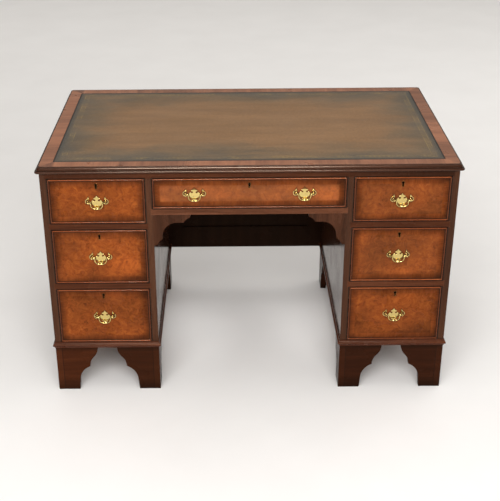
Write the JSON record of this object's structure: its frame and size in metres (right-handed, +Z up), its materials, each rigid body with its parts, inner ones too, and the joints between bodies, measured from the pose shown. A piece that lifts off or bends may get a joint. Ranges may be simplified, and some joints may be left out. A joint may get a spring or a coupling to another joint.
{
  "type": "kneehole desk",
  "caption": "Walnut kneehole desk: leather-lined moulded top, burr-faced drawers with brass bail handles, drawer pedestals on bracket feet either side of the knee space.",
  "frame": {"origin": "on the floor at the middle of the desk's outline, handles included", "axes": "+X along the desk to the right as seen from the front, +Y from front to back, +Z up"},
  "size_m": [1.25, 0.765, 0.77],
  "materials": {
    "dark_walnut": "dark polished walnut",
    "burr_walnut": "polished burr walnut veneer with a crossbanded edge",
    "crossbanding": "polished crossbanded walnut veneer",
    "drawer_lining": "plain bare hardwood",
    "leather": "worn olive-brown leather with a tooled border",
    "brass": "polished brass"
  },
  "bodies": {
    "carcass": {"top_board": "dark_walnut", "top_crossbanding": "crossbanding", "leather_inlay": "leather", "top_edge_moulding": "dark_walnut", "frieze_rail": "dark_walnut", "kneehole_rail": "dark_walnut", "kneehole_spandrels": "dark_walnut", "kneehole_back": "dark_walnut", "bottom_boards": "dark_walnut", "centre_drawer_runners": "drawer_lining", "left_outer_side": "dark_walnut", "left_inner_side": "dark_walnut", "left_back_panel": "dark_walnut", "left_drawer_rails": "dark_walnut", "left_drawer_runners": "drawer_lining", "left_base_moulding": "dark_walnut", "left_bracket_feet": "dark_walnut", "right_outer_side": "dark_walnut", "right_inner_side": "dark_walnut", "right_back_panel": "dark_walnut", "right_drawer_rails": "dark_walnut", "right_drawer_runners": "drawer_lining", "right_base_moulding": "dark_walnut", "right_bracket_feet": "dark_walnut"},
    "left_top_drawer": {"left_top_drawer_front": "burr_walnut", "left_top_drawer_cock_bead": "dark_walnut", "left_top_drawer_box": "drawer_lining", "left_top_drawer_brasses": "brass"},
    "left_top_drawer_bail": {"left_top_drawer_bail": "brass"},
    "left_middle_drawer": {"left_middle_drawer_front": "burr_walnut", "left_middle_drawer_cock_bead": "dark_walnut", "left_middle_drawer_box": "drawer_lining", "left_middle_drawer_brasses": "brass"},
    "left_middle_drawer_bail": {"left_middle_drawer_bail": "brass"},
    "left_bottom_drawer": {"left_bottom_drawer_front": "burr_walnut", "left_bottom_drawer_cock_bead": "dark_walnut", "left_bottom_drawer_box": "drawer_lining", "left_bottom_drawer_brasses": "brass"},
    "left_bottom_drawer_bail": {"left_bottom_drawer_bail": "brass"},
    "right_top_drawer": {"right_top_drawer_front": "burr_walnut", "right_top_drawer_cock_bead": "dark_walnut", "right_top_drawer_box": "drawer_lining", "right_top_drawer_brasses": "brass"},
    "right_top_drawer_bail": {"right_top_drawer_bail": "brass"},
    "right_middle_drawer": {"right_middle_drawer_front": "burr_walnut", "right_middle_drawer_cock_bead": "dark_walnut", "right_middle_drawer_box": "drawer_lining", "right_middle_drawer_brasses": "brass"},
    "right_middle_drawer_bail": {"right_middle_drawer_bail": "brass"},
    "right_bottom_drawer": {"right_bottom_drawer_front": "burr_walnut", "right_bottom_drawer_cock_bead": "dark_walnut", "right_bottom_drawer_box": "drawer_lining", "right_bottom_drawer_brasses": "brass"},
    "right_bottom_drawer_bail": {"right_bottom_drawer_bail": "brass"},
    "centre_drawer": {"centre_drawer_front": "burr_walnut", "centre_drawer_cock_bead": "dark_walnut", "centre_drawer_box": "drawer_lining", "centre_drawer_brasses": "brass"},
    "centre_drawer_left_bail": {"centre_drawer_left_bail": "brass"},
    "centre_drawer_right_bail": {"centre_drawer_right_bail": "brass"}
  },
  "joints": [
    {"name": "left_top_drawer_slide", "type": "slide", "parent": "carcass", "child": "left_top_drawer", "axis": [0, -1, 0], "range_m": [0, 0.42]},
    {"name": "left_top_drawer_bail_swing", "type": "hinge", "parent": "left_top_drawer", "child": "left_top_drawer_bail", "pos_m": [-0.4495, -0.376, 0.659], "axis": [-1, 0, 0], "range_deg": [0, 100]},
    {"name": "left_middle_drawer_slide", "type": "slide", "parent": "carcass", "child": "left_middle_drawer", "axis": [0, -1, 0], "range_m": [0, 0.42]},
    {"name": "left_middle_drawer_bail_swing", "type": "hinge", "parent": "left_middle_drawer", "child": "left_middle_drawer_bail", "pos_m": [-0.4495, -0.376, 0.4765], "axis": [-1, 0, 0], "range_deg": [0, 100]},
    {"name": "left_bottom_drawer_slide", "type": "slide", "parent": "carcass", "child": "left_bottom_drawer", "axis": [0, -1, 0], "range_m": [0, 0.42]},
    {"name": "left_bottom_drawer_bail_swing", "type": "hinge", "parent": "left_bottom_drawer", "child": "left_bottom_drawer_bail", "pos_m": [-0.4495, -0.376, 0.2715], "axis": [-1, 0, 0], "range_deg": [0, 100]},
    {"name": "right_top_drawer_slide", "type": "slide", "parent": "carcass", "child": "right_top_drawer", "axis": [0, -1, 0], "range_m": [0, 0.42]},
    {"name": "right_top_drawer_bail_swing", "type": "hinge", "parent": "right_top_drawer", "child": "right_top_drawer_bail", "pos_m": [0.4495, -0.376, 0.659], "axis": [-1, 0, 0], "range_deg": [0, 100]},
    {"name": "right_middle_drawer_slide", "type": "slide", "parent": "carcass", "child": "right_middle_drawer", "axis": [0, -1, 0], "range_m": [0, 0.42]},
    {"name": "right_middle_drawer_bail_swing", "type": "hinge", "parent": "right_middle_drawer", "child": "right_middle_drawer_bail", "pos_m": [0.4495, -0.376, 0.4765], "axis": [-1, 0, 0], "range_deg": [0, 100]},
    {"name": "right_bottom_drawer_slide", "type": "slide", "parent": "carcass", "child": "right_bottom_drawer", "axis": [0, -1, 0], "range_m": [0, 0.42]},
    {"name": "right_bottom_drawer_bail_swing", "type": "hinge", "parent": "right_bottom_drawer", "child": "right_bottom_drawer_bail", "pos_m": [0.4495, -0.376, 0.2715], "axis": [-1, 0, 0], "range_deg": [0, 100]},
    {"name": "centre_drawer_slide", "type": "slide", "parent": "carcass", "child": "centre_drawer", "axis": [0, -1, 0], "range_m": [0, 0.42]},
    {"name": "centre_drawer_left_bail_swing", "type": "hinge", "parent": "centre_drawer", "child": "centre_drawer_left_bail", "pos_m": [-0.162, -0.376, 0.682], "axis": [-1, 0, 0], "range_deg": [0, 100]},
    {"name": "centre_drawer_right_bail_swing", "type": "hinge", "parent": "centre_drawer", "child": "centre_drawer_right_bail", "pos_m": [0.162, -0.376, 0.682], "axis": [-1, 0, 0], "range_deg": [0, 100]}
  ]
}
